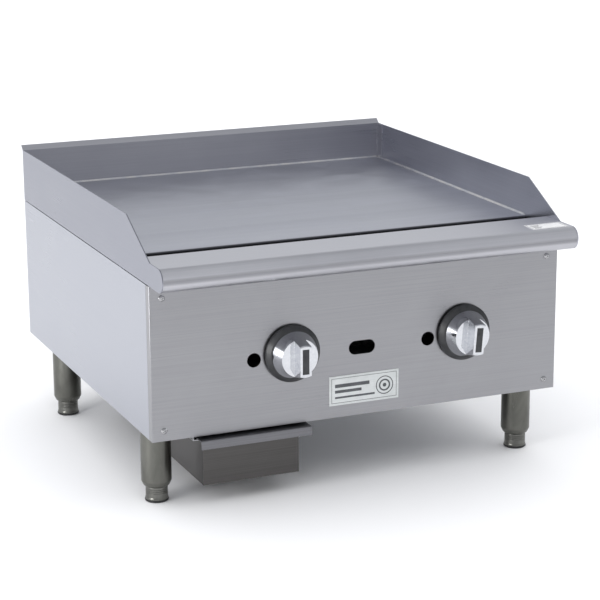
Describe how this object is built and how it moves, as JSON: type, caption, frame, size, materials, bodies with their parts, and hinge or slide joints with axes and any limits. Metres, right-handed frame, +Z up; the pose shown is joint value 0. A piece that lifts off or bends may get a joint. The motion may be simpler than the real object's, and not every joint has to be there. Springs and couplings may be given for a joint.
{
  "type": "flat top griddle",
  "caption": "Countertop gas griddle: thick steel plate in a splash surround, front grease trough over a pull-out drawer, turning gas knobs and levelling legs.",
  "frame": {"origin": "on the floor under the middle of the bounding box", "axes": "+X to the user's right, +Y to the back, +Z up; the control panel faces -Y"},
  "size_m": [0.61, 0.681, 0.405],
  "materials": {
    "stainless": "brushed",
    "plate_steel": "ground",
    "weld": "as welded, wire brushed",
    "galvanised": "spangled",
    "burner_steel": "mill",
    "black_pipe": "painted black",
    "valve_body": "cast",
    "brass": "machined",
    "tube_steel": "drawn",
    "fastener": "bright",
    "leg_steel": "satin",
    "foot_steel": "satin",
    "knob_chrome": "mirror plated",
    "knob_black": "satin",
    "drawer_steel": "brushed",
    "name_plate": "satin with printed frame",
    "label": "matt"
  },
  "bodies": {
    "casing": {"side_panel_left": "stainless", "side_panel_right": "stainless", "front_panel": "stainless", "splash_left": "stainless", "splash_right": "stainless", "back_splash": "stainless", "front_rail": "stainless", "grease_trough": "stainless", "griddle_plate": "plate_steel", "plate_weld_bead": "weld", "rear_panel": "galvanised", "bottom_pan": "galvanised", "heat_shield": "galvanised", "plate_support_front": "galvanised", "plate_support_rear": "galvanised", "burner_rest": "galvanised", "manifold_brackets": "galvanised", "drain_chute": "galvanised", "drawer_runner_left": "galvanised", "drawer_runner_right": "galvanised", "leg_mount_plates": "galvanised", "burner_left": "burner_steel", "burner_right": "burner_steel", "manifold_pipe": "black_pipe", "supply_pipe": "black_pipe", "supply_elbow": "black_pipe", "manifold_plug": "black_pipe", "gas_valve_left": "valve_body", "gas_valve_right": "valve_body", "gas_jet_left": "brass", "gas_jet_right": "brass", "pilot_valve_left": "brass", "pilot_valve_right": "brass", "pilot_burner_left": "tube_steel", "pilot_burner_right": "tube_steel", "front_screws": "fastener", "rear_screws": "fastener", "leg_nuts": "fastener", "leg_fl": "leg_steel", "leg_fr": "leg_steel", "leg_bl": "leg_steel", "leg_br": "leg_steel", "name_plate": "name_plate", "caution_label": "label"},
    "knob_left": {"knob_left": "knob_chrome", "knob_skirt_left": "knob_black", "knob_insert_left": "knob_black", "valve_stem_left": "valve_body"},
    "knob_right": {"knob_right": "knob_chrome", "knob_skirt_right": "knob_black", "knob_insert_right": "knob_black", "valve_stem_right": "valve_body"},
    "drawer": {"grease_drawer": "drawer_steel", "drawer_pull": "drawer_steel"},
    "shutter_left": {"air_shutter_left": "burner_steel"},
    "shutter_right": {"air_shutter_right": "burner_steel"},
    "level_fl": {"foot_fl": "foot_steel"},
    "level_fr": {"foot_fr": "foot_steel"},
    "level_bl": {"foot_bl": "foot_steel"},
    "level_br": {"foot_br": "foot_steel"}
  },
  "joints": [
    {"name": "knob_left_turn", "type": "hinge", "parent": "casing", "child": "knob_left", "pos_m": [-0.1045, -0.2845, 0.2055], "axis": [0, -1, 0], "range_deg": [0, 90]},
    {"name": "knob_right_turn", "type": "hinge", "parent": "casing", "child": "knob_right", "pos_m": [0.1555, -0.2845, 0.2055], "axis": [0, -1, 0], "range_deg": [0, 90]},
    {"name": "drawer_slide", "type": "slide", "parent": "casing", "child": "drawer", "axis": [0, -1, 0], "range_m": [0, 0.36]},
    {"name": "foot_fl_level", "type": "slide", "parent": "casing", "child": "level_fl", "axis": [0, 0, -1], "range_m": [0, 0.025]},
    {"name": "foot_fr_level", "type": "slide", "parent": "casing", "child": "level_fr", "axis": [0, 0, -1], "range_m": [0, 0.025]},
    {"name": "foot_bl_level", "type": "slide", "parent": "casing", "child": "level_bl", "axis": [0, 0, -1], "range_m": [0, 0.025]},
    {"name": "foot_br_level", "type": "slide", "parent": "casing", "child": "level_br", "axis": [0, 0, -1], "range_m": [0, 0.025]},
    {"name": "shutter_left_turn", "type": "hinge", "parent": "casing", "child": "shutter_left", "pos_m": [-0.1045, -0.1958, 0.2055], "axis": [0, 1, 0], "range_deg": [0, 40]},
    {"name": "shutter_right_turn", "type": "hinge", "parent": "casing", "child": "shutter_right", "pos_m": [0.1555, -0.1958, 0.2055], "axis": [0, 1, 0], "range_deg": [0, 40]}
  ]
}
